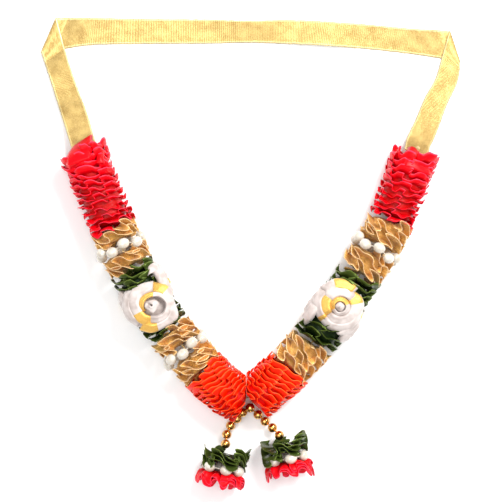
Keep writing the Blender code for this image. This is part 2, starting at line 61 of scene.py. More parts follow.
CROSS_RUN = [
    ((-0.1175, 0.1518, NECK_FLAT), (-0.1270, 0.1305, NECK_FLAT)),
    ((-0.1010, 0.1518, NECK_FLAT), (-0.1030, 0.1342, NECK_FLAT)),
    ((-0.0650, 0.1510, NECK_FLAT), (-0.0650, 0.1350, NECK_FLAT)),
    ((-0.0300, 0.1508, NECK_FLAT), (-0.0300, 0.1352, NECK_FLAT)),
    ((-0.0010, 0.1498, 0.0022), (-0.0010, 0.1358, 0.0006)),
    ((0.0230, 0.1504, 0.0004), (0.0230, 0.1350, 0.0012)),
    ((0.0480, 0.1494, 0.0006), (0.0460, 0.1338, 0.0024)),
    ((0.0760, 0.1474, NECK_FLAT), (0.0740, 0.1318, NECK_FLAT)),
    ((0.1040, 0.1448, NECK_FLAT), (0.1010, 0.1288, NECK_FLAT)),
    ((0.1200, 0.1440, NECK_FLAT), (0.1235, 0.1255, NECK_FLAT)),
]
RIGHT_FOLD = ((0.1277, 0.1431), (0.1344, 0.1226))
RIGHT_LEG = [
    ((0.1236, 0.1290, NECK_OVER), (0.1346, 0.1190, NECK_OVER)),
    ((0.1190, 0.1130, NECK_OVER), (0.1325, 0.1090, NECK_OVER)),
    ((0.1121, 0.1006, 0.0026), (0.1262, 0.0958, 0.0016)),
    ((0.1068, 0.0880, 0.0020), (0.1216, 0.0833, 0.0022)),
    ((0.1025, 0.0790, 0.0042), (0.1178, 0.0739, 0.0040)),
    ((0.0997, 0.0730, 0.0076), (0.1148, 0.0682, 0.0074)),
    ((0.0987, 0.0686, 0.0098), (0.1138, 0.0636, 0.0098)),
    ((0.0981, 0.0668, 0.0125), (0.1132, 0.0618, 0.0125)),
    ((0.0981, 0.0668, 0.0190), (0.1132, 0.0618, 0.0190)),
]
TISSUE_THICKNESS = 0.0003


class Wire:
    """A value in a material. Sums, differences, products and quotients of wires add their Math nodes."""

    def __init__(self, tree, socket):
        self.tree = tree
        self.socket = socket

    def node(self, kind, settings, sockets, out=0):
        """Adds a node: its settings first, then the values or links of its sockets."""
        made = self.tree.nodes.new(kind)
        for name, value in settings.items():
            if name != "stops":
                setattr(made, name, value)
                continue
            ramp = made.color_ramp.elements
            while len(ramp) < len(value):
                ramp.new(0.5)
            for stop, (place, colour) in zip(ramp, value):
                stop.position = place
                stop.color = (*colour, 1.0)
        for name, value in sockets.items():
            if isinstance(value, Wire):
                self.tree.links.new(value.socket, made.inputs[name])
            else:
                made.inputs[name].default_value = value
        return Wire(self.tree, made.outputs[out])

    def math(self, operation, *others):
        values = dict(enumerate((self, *others)))
        return self.node("ShaderNodeMath", {"operation": operation}, values)

    def __add__(self, other):
        return self.math("ADD", other)

    def __sub__(self, other):
        return self.math("SUBTRACT", other)

    def __mul__(self, other):
        return self.math("MULTIPLY", other)

    def __truediv__(self, other):
        return self.math("DIVIDE", other)

    def __rsub__(self, other):
        return (self * -1.0) + other

    __radd__ = __add__
    __rmul__ = __mul__

    def step(self, low, high):
        """0 below low, 1 above high, smooth between them."""
        sockets = {"Value": self, "From Min": low, "From Max": high}
        return self.node("ShaderNodeMapRange", {"interpolation_type": "SMOOTHSTEP"}, sockets)

    def between(self, low, high, soft):
        return self.step(low - soft, low + soft) * (1.0 - self.step(high - soft, high + soft))

    def mix(self, first, second):
        """The first colour where this value is 0, the second where it is 1."""
        first = first if isinstance(first, Wire) else (*first, 1.0)
        second = second if isinstance(second, Wire) else (*second, 1.0)
        return self.node("ShaderNodeMix", {"data_type": "RGBA"}, {0: self, 6: first, 7: second}, 2)

    def noise(self, scale, detail=2.0, stretch=(1.0, 1.0, 1.0)):
        """Noise over this position, stretched along its axes."""
        place = self.node("ShaderNodeMapping", {}, {"Vector": self, "Scale": stretch})
        return self.node("ShaderNodeTexNoise", {}, {"Vector": place, "Scale": scale, "Detail": detail})


class Finish:
    """A material: its shader, the ribbon's own measure along and across it, and the place in the object."""

    def __init__(self, name, **values):
        self.material = bpy.data.materials.new(name)
        self.material.use_nodes = True
        tree = self.material.node_tree
        self.shader = tree.nodes["Principled BSDF"]
        for socket, value in values.items():
            self.shader.inputs[socket.replace("_", " ")].default_value = value
        start = Wire(tree, self.shader.outputs[0])
        self.place = start.node("ShaderNodeTexCoord", {}, {}, "Object")
        self.ribbon = start.node("ShaderNodeUVMap", {"uv_map": "ribbon"}, {})
        self.along = self.ribbon.node("ShaderNodeSeparateXYZ", {}, {0: self.ribbon}, "X")
        self.across = self.ribbon.node("ShaderNodeSeparateXYZ", {}, {0: self.ribbon}, "Y")
        self.tree = tree

    def feed(self, **wires):
        for socket, wire in wires.items():
            self.tree.links.new(wire.socket, self.shader.inputs[socket.replace("_", " ")])

    def bump(self, height, depth, strength=1.0):
        values = {"Height": height, "Distance": depth, "Strength": strength}
        self.feed(Normal=height.node("ShaderNodeBump", {}, values))


def smooth_line(points, steps):
    """Points on a smooth curve through the given points."""
    ends = [2 * points[0] - points[1], *points, 2 * points[-1] - points[-2]]
    line = []
    for a, b, c, d in zip(ends, ends[1:], ends[2:], ends[3:]):
        for i in range(steps):
            t = i / steps
            line.append(
                0.5 * (2 * b + (c - a) * t + (2 * a - 5 * b + 4 * c - d) * t**2 + (3 * b - a - 3 * c + d) * t**3)
            )
    return [*line, points[-1]]


def woven_sheet(columns, rows, length, width, place, bm=None):
    """A grid of ribbon, in a bmesh. place(along, across) gives its points for shares of its two sizes, and length
    and width say from where to where it runs on the ribbon, for the weave."""
    bm = bm or bmesh.new()
    measure = bm.loops.layers.uv.get("ribbon") or bm.loops.layers.uv.new("ribbon")
    made = bmesh.ops.create_grid(bm, x_segments=columns, y_segments=rows, size=0.5)["verts"]
    shares = {vertex: (vertex.co.x + 0.5, vertex.co.y + 0.5) for vertex in made}
    for vertex, (along, across) in shares.items():
        vertex.co = place(along, across)
        for loop in vertex.link_loops:
            u = length[0] + along * (length[1] - length[0])
            loop[measure].uv = (u, width[0] + across * (width[1] - width[0]))
    return bm


def finished_piece(name, bm, finish, thickness=None):
    """Turns a bmesh into a smooth piece of the garland, with a wall where it is a sheet."""
    mesh = bpy.data.meshes.new(name)
    bm.to_mesh(mesh)
    bm.free()
    mesh.shade_smooth()
    mesh.materials.append(finish.material)
    piece = bpy.data.objects.new(name, mesh)
    bpy.context.scene.collection.objects.link(piece)
    if thickness:
        wall = piece.modifiers.new("wall", "SOLIDIFY")
        wall.thickness = thickness
        wall.offset = 0.0
    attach(piece, "root")
    return piece


def tissue_finish(name, shade, light, glint, rib=0.0011):
    """Gold tissue: metallic weft in cross ribs and a firm selvedge on each edge, with painted light: shade and light
    are shaded and lit golds mixed in random patches, and glint is a painted highlight colour, sprinkled as fine glints
    and laid over the selvedge to make it paler.
    """
    finish = Finish(name, Roughness=0.42, Metallic=0.55, Sheen_Weight=0.15)
    ribs = (finish.along * (2 * math.pi / rib)).math("SINE")
    yarn = finish.ribbon.noise(2600.0, 3.0, (1.0, 0.35, 1.0))
    painted_light_patch = finish.place.noise(160.0, 3.0)
    sparkle = finish.ribbon.noise(5200.0, 1.0).step(0.60, 0.72)
    tone = yarn * 0.55 + painted_light_patch * 0.45 + ribs * 0.05
    # Painted light and shade: shaded and lit gold, mixed in random patches.
    colour = tone.step(0.34, 0.68).mix(shade, light)
    selvedge_glint = 1.0 - finish.across.between(0.0011, 0.0149, 0.0004)
    # Painted glints in fine specks, then the selvedge painted paler with the glint colour.
    colour = (sparkle * 0.55).mix(colour, glint)
    colour = (selvedge_glint * 0.45).mix(colour, glint)
    finish.feed(Base_Color=colour, Roughness=0.34 + yarn * 0.25, Metallic=0.55 + sparkle * 0.35)
    finish.bump(ribs * 0.35 + yarn + selvedge_glint * 0.8, 0.00022, 0.8)
    return finish


def fold_rows(fold, direction, first, last, steps=8):
    """Rows round a fold: a half turn about its line, from one layer of the ribbon to the other."""
    middle = (first + last) / 2
    reach = abs(first - last) / 2
    line = Vector((*fold[1], 0.0)) - Vector((*fold[0], 0.0))
    away = line.cross(UP).normalized() * direction
    rows = []
    for k in range(steps + 1):
        turn = math.pi * k / steps
        height = middle + (first - last) / 2 * math.cos(turn)
        shift = away * reach * math.sin(turn)
        rows.append([Vector((x, y, height)) + shift for x, y in fold])
    return rows


def neck_rows():
    parts = [
        [[Vector(p) for p in row] for row in LEFT_LEG],
        fold_rows(LEFT_FOLD, 1, NECK_OVER, NECK_FLAT),
        [[Vector(p) for p in row] for row in CROSS_RUN],
        fold_rows(RIGHT_FOLD, -1, NECK_FLAT, NECK_OVER),
        [[Vector(p) for p in row] for row in RIGHT_LEG],
    ]
    rows = []
    for part, steps in zip(parts, (9, 1, 12, 1, 9)):
        inner = smooth_line([row[0] for row in part], steps)
        outer = smooth_line([row[1] for row in part], steps)
        rows += list(zip(inner, outer))
    return rows


# Shaded gold, lit gold and glint colours: painted shade and painted highlight of the neck tissue.
neck_gold = tissue_finish("neck tissue", (0.34, 0.21, 0.05), (0.66, 0.47, 0.16), (0.95, 0.82, 0.44))
neck_run = neck_rows()


def neck_place(along, across):
    """The neck ribbon's surface: its rows, with a slightly uneven selvedge."""
    spot = along * (len(neck_run) - 1)
    i = min(int(spot), len(neck_run) - 2)
    inner = neck_run[i][0].lerp(neck_run[i + 1][0], spot - i)
    outer = neck_run[i][1].lerp(neck_run[i + 1][1], spot - i)
    rough = 0.022 * noise.noise(Vector((spot * 0.9, across * 3.0, 0.0)))
    point = inner.lerp(outer, across + (across - 0.5) * 2 * rough)
    ripple = noise.noise(Vector((point.x * 70, point.y * 70, 3.0)))
    return point + UP * max(0.0, ripple) * 0.0006 * math.sin(math.pi * across)


neck_cloth = woven_sheet(len(neck_run) - 1, 16, (0.0, 0.56), (0.0, 0.016), neck_place)
neck_ribbon = finished_piece("neck_ribbon_cloth", neck_cloth, neck_gold, TISSUE_THICKNESS)
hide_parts("neck_ribbon")

# Strand threads. Cotton thread runs down each side through every ruffle, knotted outside the neck ribbon. Each
# side's route is also the line that its ruffles, pearls and roses are set on.
STRAND_HEIGHT = 0.0146
LEFT_ROUTE = [
    (-0.1072, 0.0656),
    (-0.0886, 0.0157),
    (-0.0771, -0.0093),
    (-0.0626, -0.0342),
    (-0.0470, -0.0566),
    (-0.0288, -0.0765),
    (-0.0170, -0.0888),
    (-0.0074, -0.0930),
]
RIGHT_ROUTE = [
    (0.1053, 0.0637),
    (0.0914, 0.0205),
    (0.0794, 0.0018),
    (0.0658, -0.0188),
    (0.0563, -0.0336),
    (0.0429, -0.0547),
    (0.0226, -0.0742),
    (0.0120, -0.0852),
    (0.0032, -0.0912),
]


class Thread:
    """A thread's line, measured by length. It runs on straight past both ends."""

    def __init__(self, points, height):
        self.points = smooth_line([Vector((x, y, height)) for x, y in points], 12)
        for _ in range(160):
            inner = [(a + 2 * b + c) / 4 for a, b, c in zip(self.points, self.points[1:], self.points[2:])]
            self.points = [self.points[0], *inner, self.points[-1]]
        steps = [(b - a).normalized() for a, b in zip(self.points, self.points[1:])]
        self.directions = [steps[0], *[(a + b).normalized() for a, b in zip(steps, steps[1:])], steps[-1]]
        self.lengths = [0.0]
        for a, b in zip(self.points, self.points[1:]):
            self.lengths.append(self.lengths[-1] + (b - a).length)
        self.length = self.lengths[-1]

    def at(self, station):
        last = len(self.points) - 2
        i = 0
        while i < last and self.lengths[i + 1] < station:
            i += 1
        share = (station - self.lengths[i]) / (self.lengths[i + 1] - self.lengths[i])
        point = self.points[i] + share * (self.points[i + 1] - self.points[i])
        along = self.directions[i].lerp(self.directions[i + 1], min(max(share, 0.0), 1.0))
        return point, along.normalized()

    def place(self, station, angle, radius):
        """A point about the thread. Angle 0 is straight up and a quarter turn is to the right."""
        point, along = self.at(station)
        across = UP.cross(along).normalized()
        above = along.cross(across)
        return point + radius * (math.cos(angle) * above + math.sin(angle) * across)


left_thread = Thread(LEFT_ROUTE, STRAND_HEIGHT)
right_thread = Thread(RIGHT_ROUTE, STRAND_HEIGHT)
cotton = Finish("cotton thread", Roughness=0.75)
twist = cotton.place.noise(2400.0, 2.0)
cotton.feed(Base_Color=twist.mix((0.36, 0.24, 0.09), (0.62, 0.48, 0.24)))
cotton.bump(twist, 0.0002, 0.7)
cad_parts["strand_thread"].data.materials.clear()
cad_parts["strand_thread"].data.materials.append(cotton.material)

# Red ruffles. Satin ribbon gathered along one edge on a running stitch and pushed tight down the thread. Its free
# edge meanders round the strand and curls over, so that the layers lie on one another like scales.
RUFFLE_ROOT = 0.0016
RUFFLE_REACH = 0.0158
SATIN_THICKNESS = 0.00028


def on_table(point, rest=0.0004):
    """Soft ribbon flattens where it lies on the table."""
    return Vector((point.x, point.y, max(point.z, rest + 0.02 * max(0.0, -point.z))))


def gathered_ribbon(name, thread, start, end, turns, flutes, finish, swing=0.0012, lap=0.05, shear=0.0, lean=0.0,
                    last_lean=None, curl=1.0, square=1.0, reach=RUFFLE_REACH, core=0.0118, drift=0.9, ragged=0.0007,
                    dip=0.0012, seed=0.0, steps=12, rows=9, first=0.0, press=None,
                    under=None):
    """A ruffle between two stations of a thread. swing is how far its free edge meanders along the thread, lap how
    far the folds bulge over one another, shear how far they are laid over sideways, lean how far the free edge tips
    along the thread, and curl how much of the width curls over. square flattens the folds, dip is how much lower
    the edge is between them, and core is the radius up to which the gathers are pressed solid. press is the X that
    the ruffle leans on, with its side; under is the centre, radius and height of a rose that flattens it."""
    last_lean = lean if last_lean is None else last_lean
    origin = Vector((seed * 7.3, seed * 3.1, seed * 5.7))

    def pressed(point):
        if press:
            point.x = press[1] * min(press[1] * point.x, press[1] * press[0])
        if under and (point.xy - under[0].xy).length < under[1]:
            point.z = min(point.z, under[2])
        return on_table(point)

    def layer(along, across):
        turn = 2 * math.pi * turns * along + first
        base = start + (end - start) * along
        around = Vector((math.cos(turn) * 1.3, math.sin(turn) * 1.3, base * 150.0)) + origin
        wander = noise.noise(around)
        fine = noise.noise(around * 2.7 + Vector((9.0, 4.0, 1.0)))
        phase = flutes * turn + drift * 3.0 * wander
        wave = math.sin(phase)
        wave = wave * math.sqrt((1 + square) / (1 + square * wave * wave))
        open_out = across**1.3
        bend = max(0.0, (across - 0.35) / 0.65) ** 1.5
        tip = (lean + (last_lean - lean) * along) * bend * (1.0 + 0.3 * fine)
        station = base + swing * open_out * wave * (1.0 + 0.6 * fine) + tip + 0.0009 * fine * across
        angle = turn - lap * open_out * math.sin(2 * phase) * (1.0 + 0.5 * wander)
        angle += shear * wave * open_out * (1.0 + 0.9 * wander) + 0.06 * fine * across
        rise = (1 - curl) * across + curl * math.sin(across * math.pi / 2)
        radius = RUFFLE_ROOT + (reach - RUFFLE_ROOT) * rise + ragged * across * (wander + 0.8 * fine)
        radius -= dip * across * across * (0.5 - 0.5 * math.cos(phase + 0.8))
        return pressed(thread.place(station, angle, radius))

    def gathers(along, across):
        turn = 2 * math.pi * across
        ripple = noise.noise(Vector((math.cos(turn) * 3, math.sin(turn) * 3, along * (end - start) * 900)) + origin)
        close = min(1.0, 8 * along, 8 * (1 - along)) ** 0.5
        radius = RUFFLE_ROOT + (core + 0.0009 * ripple - RUFFLE_ROOT) * close
        return pressed(thread.place(start + (end - start) * along, turn, radius))

    length = turns * 2 * math.pi * reach * 1.6
    bm = woven_sheet(round(turns * flutes * steps), rows, (0.0, length), (0.0, 0.016), layer)
    # The gathers are measured at the ribbon's root, so a satin finish gives them its painted shade colour.
    woven_sheet(max(12, round((end - start) / 0.0008)), 40, (0.0, length), (0.002, 0.0021), gathers, bm)
    bmesh.ops.remove_doubles(bm, verts=bm.verts, dist=0.000001)
    return finished_piece(name, bm, finish, SATIN_THICKNESS)


def gathered(node):
    """Hides the CAD part of a ruffle, which the gathered ribbon stands in for."""
    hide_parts(node)


def satin_finish(name, shaded, lit, edge_highlight, gloss=0.30, metallic=0.0, sheen=0.08):
    """Satin: a smooth face with faint lengthwise streaks, painted shade towards the gathered root deep in the ruffle,
    and a painted highlight on the selvedge where it catches the light.
    """
    finish = Finish(name, Metallic=metallic, Sheen_Weight=sheen, Sheen_Roughness=0.35, Sheen_Tint=(*edge_highlight, 1.0),
                    Specular_IOR_Level=0.14)
    streak = finish.ribbon.noise(700.0, 2.0, (0.3, 2.0, 1.0))
    # Painted shade: dark towards the gathered root, deep inside the ruffle, and lit towards the free edge.
    depth = finish.across.step(0.004, 0.0150)
    colour = (depth * 0.85 + streak * 0.15).mix(shaded, lit)
    # Painted highlight along the free selvedge.
    selvedge_glint = finish.across.step(0.0150, 0.0157)
    colour = (selvedge_glint * 0.6).mix(colour, edge_highlight)
    finish.feed(Base_Color=colour, Roughness=gloss + streak * 0.14)
    finish.bump(streak, 0.00014, 0.6)
    return finish


# Shaded red, lit red and edge highlight red: painted shade and painted highlight of the satin.
red_satin = satin_finish("red satin", (0.36, 0.0, 0.0), (0.78, 0.0, 0.006), (1.0, 0.07, 0.16))
left_red = gathered_ribbon("left_red_satin", left_thread, 0.0050, 0.0516, 12, 7, red_satin, lean=-0.0074,
                           last_lean=0.0026, swing=0.0017, square=2.5, dip=0.0020, drift=1.5, ragged=0.0011,
                           seed=1.0, shear=0.10, steps=16)
gathered("left_red_ruffle")
right_red = gathered_ribbon("right_red_satin", right_thread, 0.0050, 0.0446, 10.5, 7, red_satin, lean=-0.0074,
                            last_lean=0.0026, swing=0.0017, square=2.5, dip=0.0020, drift=1.5, ragged=0.0011,
                            seed=2.0, shear=-0.10, steps=16)
gathered("right_red_ruffle")

# The free end of each red ribbon is drawn over the end of the neck ribbon, as a smooth flap that hides the
# stitches, and on the left side one more fold stands out beside it.
def satin_flap(name, corners, bulge, swell, wave, node):
    """A smooth patch of satin between four corners, crowned by bulge and swollen to the side by swell."""

    def place(along, across):
        top = Vector(corners[0]).lerp(Vector(corners[1]), along)
        bottom = Vector(corners[3]).lerp(Vector(corners[2]), along)
        crown = math.sin(math.pi * min(1.0, along * 1.05)) ** 0.6 * math.sin(math.pi * min(1.0, 0.1 + across * 0.9))
        side = math.sin(math.pi * across) * (1 - along)
        point = top.lerp(bottom, across) + Vector((swell * side, wave * math.sin(2 * math.pi * along) * (1 - across),
                                                   bulge * crown))
        point.z -= 0.0050 * max(0.0, across - 0.85) / 0.15 + 0.0060 * max(0.0, 0.12 - along) / 0.12
        point.z -= 0.0060 * max(0.0, along - 0.9) / 0.1
        return point

    piece = finished_piece(name, woven_sheet(24, 24, (0.0, 0.02), (0.006, 0.0148), place), red_satin, SATIN_THICKNESS)
    gathered(node)


satin_flap("left_red_flap", [(-0.1140, 0.0680, 0.0195), (-0.1014, 0.0762, 0.0200), (-0.1002, 0.0585, 0.0335),
                             (-0.1168, 0.0530, 0.0300)], 0.0034, -0.0026, 0.0, "left_red_ruffle")
satin_flap("left_red_loop", [(-0.0978, 0.0652, 0.0240), (-0.0935, 0.0652, 0.0230), (-0.0925, 0.0560, 0.0290),
                             (-0.0990, 0.0560, 0.0290)], 0.0022, 0.0, 0.0, "left_red_ruffle")
satin_flap("right_red_flap", [(0.1002, 0.0678, 0.0210), (0.1152, 0.0585, 0.0190), (0.1155, 0.0480, 0.0275),
                              (0.0950, 0.0540, 0.0325)], 0.0034, -0.0010, 0.0022, "right_red_ruffle")

# Gold ruffles. The same gold tissue as the neck ribbon, gathered in larger, stiffer folds whose pale selvedges,
# painted with a highlight colour as well, stand in loops round the strand.
# Shaded gold, lit gold and glint colours: painted shade and painted highlight of the ruffle tissue.
ruffle_gold = tissue_finish("ruffle tissue", (0.46, 0.19, 0.02), (0.98, 0.60, 0.16), (1.0, 0.78, 0.50))
GOLD_LEFT = [(0.0527, 0.0622, 1.9), (0.0695, 0.0798, 2.0), (0.1282, 0.1396, 2.3), (0.1475, 0.1609, 2.8)]
GOLD_RIGHT = [(0.0457, 0.0624, 2.8), (0.0693, 0.0848, 2.6), (0.1387, 0.1607, 3.7)]
for side, thread, parts in (("left", left_thread, GOLD_LEFT), ("right", right_thread, GOLD_RIGHT)):
    for k, (start, end, turns) in enumerate(parts, 1):
        gold_ruffle = gathered_ribbon(f"{side}_gold_tissue_{k}", thread, start + 0.0004, end - 0.0004, turns, 6,
                                      ruffle_gold, swing=0.0036, lap=0.13, shear=0.26, drift=1.1, curl=0.5, core=0.0108,
                                      square=0.3, seed=10.0 * k + turns, steps=24, rows=10)
        gathered(f"{side}_gold_ruffle_{k}")

# Green ruffles. Dark glossy satin, in loose folds: the bed that the roses are sewn to.
# Shaded green, lit green and edge highlight green: painted shade and painted highlight of the satin.
green_satin = satin_finish("green satin", (0.004, 0.012, 0.003), (0.045, 0.068, 0.009), (0.17, 0.22, 0.04),
                           gloss=0.16, metallic=0.35, sheen=0.1)
left_green = gathered_ribbon("left_green_satin", left_thread, 0.0840, 0.1272, 10, 5, green_satin, swing=0.0022,
                             lap=0.12, shear=0.16, lean=-0.0040, last_lean=0.0, seed=4.0, reach=0.0154, steps=16,
                             under=(left_thread.place(0.1085, 0, 0.0), 0.0115, 0.0195))
gathered("left_green_ruffle")
right_green = gathered_ribbon("right_green_satin", right_thread, 0.0890, 0.1376, 11, 5, green_satin, swing=0.0022,
                              lap=0.12, shear=-0.16, lean=-0.0040, last_lean=0.0, seed=5.0, reach=0.0154, steps=16,
                              under=(right_thread.place(0.1096, 0, 0.0), 0.0115, 0.0195))
gathered("right_green_ruffle")

# Orange ruffles. Bright satin gathered more finely than the red, one ruffle on each side of the point of the V,
# where they press against each other.
V_MIDDLE = -0.0030
# Shaded orange, lit orange and edge highlight orange: painted shade and painted highlight of the satin.
orange_satin = satin_finish("orange satin", (0.60, 0.0, 0.0), (0.92, 0.014, 0.0), (1.0, 0.16, 0.02))
left_orange = gathered_ribbon("left_orange_satin", left_thread, 0.1655, left_thread.length + 0.0040, 10, 8,
                              orange_satin, lean=-0.0058, last_lean=-0.0015, swing=0.0014, square=1.5, dip=0.0014,
                              drift=1.3, seed=6.0, shear=0.10, steps=14, press=(V_MIDDLE - 0.0003, 1))
gathered("left_orange_ruffle")
right_orange = gathered_ribbon("right_orange_satin", right_thread, 0.1650, right_thread.length + 0.0040, 9, 8,
                               orange_satin, lean=-0.0058, last_lean=-0.0015, swing=0.0014, square=1.5, dip=0.0014,
                               drift=1.3, seed=8.0, shear=-0.10, steps=14, press=(V_MIDDLE + 0.0003, -1))
gathered("right_orange_ruffle")

# Pearls. Oval ivory pearls on their own thread, tied round the strand between two gold ruffles, so that they
# settle to and fro in the folds.
PEARL_LENGTH = 0.0080
PEARL_RADIUS = 0.0034
pearl_lacquer = Finish("pearl lacquer", Roughness=0.22, Coat_Weight=0.5, Coat_Roughness=0.12, Sheen_Weight=0.2,
                       Subsurface_Weight=0.15)
pearl_lacquer.shader.inputs["Subsurface Radius"].default_value = (0.0012, 0.0009, 0.0006)
cloud = pearl_lacquer.place.noise(260.0, 2.0)
pearl_lacquer.feed(Base_Color=cloud.step(0.35, 0.65).mix((0.50, 0.44, 0.36), (0.62, 0.57, 0.49)))
pearl_lacquer.bump(pearl_lacquer.place.noise(900.0, 2.0), 0.00010, 0.25)


def oval(bm, centre, along, half_length, radius, segments=28, rings=18):
    """Adds one bead to a bmesh, with the axis of its hole along a direction."""
    turned = along.to_track_quat("Z", "Y").to_matrix().to_4x4()
    size = Matrix.Diagonal((radius, radius, half_length, 1.0))
    bmesh.ops.create_uvsphere(bm, u_segments=segments, v_segments=rings, radius=1.0,
                              matrix=Matrix.Translation(centre) @ turned @ size)


def cord_link(bm, first, second, radius):
    """Adds the bit of thread between two beads to a bmesh."""
    along = second - first
    turned = along.to_track_quat("Z", "Y").to_matrix().to_4x4()
    bmesh.ops.create_cone(bm, segments=8, radius1=radius, radius2=radius, depth=along.length, cap_ends=True,
                          matrix=Matrix.Translation((first + second) / 2) @ turned)


def pearl_ring(name, thread, node, pearls, floor=0.0037):
    """A ring of pearls. Each pearl is its station, its angle in degrees and its distance from the thread."""
    bm = bmesh.new()
    centres = []
    for station, angle, reach in pearls:
        centre = thread.place(station, math.radians(angle), reach)
        while centre.z < floor:
            reach -= 0.0002
            centre = thread.place(station, math.radians(angle), reach)
        centres.append(centre)
    for before, centre, after in zip(centres[-1:] + centres[:-1], centres, centres[1:] + centres[:1]):
        oval(bm, centre, (after - before).normalized(), PEARL_LENGTH / 2, PEARL_RADIUS)
        cord_link(bm, centre, after, 0.0004)
    piece = finished_piece(name, bm, pearl_lacquer)
    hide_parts(node)
    return piece


def spaced_pearls(station, reach, count, first, weave):
    """Evenly spaced pearls that settle to and fro by weave."""
    return [
        (station + weave * (1 if k % 2 else -1), first + 360 / count * k, reach)
        for k in range(count)
    ]


pearl_ring("left_upper_pearls", left_thread, "left_pearls_1", spaced_pearls(0.0660, 0.0146, 10, 10, 0.0012))
pearl_ring("left_lower_pearls", left_thread, "left_pearls_2", spaced_pearls(0.1436, 0.0146, 10, 26, 0.0010))
pearl_ring("right_upper_pearls", right_thread, "right_pearls_1", spaced_pearls(0.0659, 0.0146, 10, 4, 0.0012))

# Roses. Each is folded from one cream satin ribbon with gold bands across it: a rolled bud, then petals that are
# turned outwards and overlap. It is sewn to the green bed by its narrow base.
ROSE_FOOT = 0.0063
ROSE_HEIGHT = 0.0112
cream_satin = Finish("cream and gold satin", Sheen_Weight=0.3, Sheen_Roughness=0.4)
gilt_glints = cream_satin.ribbon.noise(3600.0, 2.0)
fold_shade = cream_satin.place.noise(180.0, 2.0)
# Painted shade of soft folds: a shaded and a lit cream, mixed by noise.
cream = fold_shade.step(0.3, 0.7).mix((0.42, 0.35, 0.32), (0.60, 0.53, 0.50))
# Painted glints on the gold bands: a shaded and a lit gold, mixed by noise.
gilt = gilt_glints.step(0.35, 0.68).mix((0.55, 0.24, 0.03), (0.98, 0.66, 0.16))
GOLD_BANDS = cream_satin.along.node("ShaderNodeAttribute", {"attribute_name": "gilt"}, {}, "Fac").step(0.45, 0.55)
cream_satin.feed(
    Base_Color=GOLD_BANDS.mix(cream, gilt),
    Roughness=0.40 - GOLD_BANDS * 0.05,
    Metallic=GOLD_BANDS * 0.5,
)
cream_satin.bump(gilt_glints * GOLD_BANDS + fold_shade * 0.3, 0.00020, 0.7)


def folded_petal(bm, stand, knots, top, drop, gold=(), depth=0.0050, centre=(0.0, 0.0), steps=7, rows=14):
    """One petal: the ribbon folded over along its rim and turned outwards. knots are angles in degrees with the
    radius in mm of the rim and of the petal's outer fold; gold lists the angles that a gold band covers."""
    rim = smooth_line([Vector((r * math.cos(math.radians(a)), r * math.sin(math.radians(a)), 0)) / 1000
                       for a, r, _ in knots], steps)
    hem = smooth_line([Vector((r * math.cos(math.radians(a)), r * math.sin(math.radians(a)), 0)) / 1000
                       for a, _, r in knots], steps)
    turns = smooth_line([Vector((a, 0, 0)) for a, _, _ in knots], steps)
    columns = len(rim) - 1
    shift = Vector((*centre, 0.0)) / 1000
    gilt = bm.verts.layers.float["gilt"]
    marks = []

    def place(along, across):
        i = round(along * columns)
        inner, outer = rim[i], hem[i]
        ends = min(1.0, along * 6, (1 - along) * 6)
        low = top - 0.0020 * (1 - ends) ** 2
        if across < 0.28:
            share = across / 0.28
            point = inner * (1 - 0.10 * (1 - share)) + UP * (low - depth * (1 - share) ** 1.4)
        elif across < 0.80:
            share = (across - 0.28) / 0.52
            crown = 0.0005 * math.sin(math.pi * min(1.0, 2.2 * share + 0.1))
            point = inner.lerp(outer, share) + UP * (low + crown - drop * share**2.2)
        else:
            share = (across - 0.80) / 0.20
            under = inner.lerp(outer, 1.0 + 0.06 * math.sin(math.pi * share) - 0.25 * share**2)
            point = under + UP * (low - drop - 0.0026 * share)
        crease = noise.noise(point * 260 + Vector((top * 900, 0, 0)))
        point += UP * 0.0003 * crease
        marks.append(1.0 if any((turns[i].x - a) % 360 <= (b - a) % 360 for a, b in gold) else 0.0)
        return stand @ on_table(point + shift, -1.0)

    before = len(bm.verts)
    woven_sheet(columns, rows, (0.0, 0.001 * columns), (0.0, 0.016), place, bm)
    bm.verts.ensure_lookup_table()
    for vertex, mark in zip(bm.verts[before:], marks):
        vertex[gilt] = mark


def rose(name, thread, station, angle, node, petals, turned=0.0):
    """One rose, from its list of petals, stood on the strand at a station and an angle."""
    foot = thread.place(station, math.radians(angle), ROSE_FOOT)
    stand = Matrix.Translation(foot)
    if angle:
        outward = (foot - thread.at(station)[0]).normalized()
        along = thread.at(station)[1]
        stand = stand @ Matrix((along, outward.cross(along), outward)).transposed().to_4x4()
    stand = stand @ Matrix.Rotation(math.radians(turned), 4, "Z")
    bm = bmesh.new()
    bm.verts.layers.float.new("gilt")
    bm.loops.layers.uv.new("ribbon")
    for petal in petals:
        folded_petal(bm, stand, **petal)
    bmesh.ops.create_cone(bm, segments=24, radius1=0.0040, radius2=0.0110, depth=0.0074, cap_ends=True,
                          matrix=stand @ Matrix.Translation((0, 0, 0.0037)))
    for vertex in bm.verts:
        vertex.co = on_table(vertex.co)
    piece = finished_piece(name, bm, cream_satin, 0.00035)
    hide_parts(node)
    return piece


